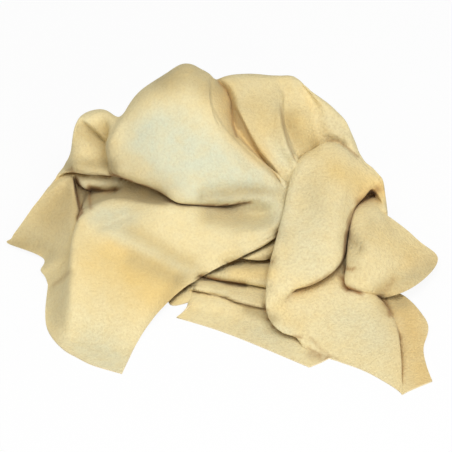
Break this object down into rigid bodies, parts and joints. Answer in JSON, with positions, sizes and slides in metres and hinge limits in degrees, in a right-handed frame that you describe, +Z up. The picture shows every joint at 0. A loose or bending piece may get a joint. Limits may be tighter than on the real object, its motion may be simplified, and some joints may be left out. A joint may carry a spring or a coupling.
{
  "type": "chamois leather",
  "caption": "Limp cream chamois leather for drying and polishing, dropped in a loose heap with a domed fold at the back, side flaps and pleats stacked along its front hem.",
  "frame": {"origin": "on the table, under the middle of the heap's bounding box", "axes": "+Z up from the table, +Y from the front hem to the back of the heap, +X to the right as seen from the front"},
  "size_m": [0.3434, 0.3514, 0.1287],
  "materials": {
    "chamois": "matt oil-tanned suede, napped on both faces"
  },
  "bodies": {
    "root": {"chamois_skin": "chamois"}
  },
  "joints": []
}
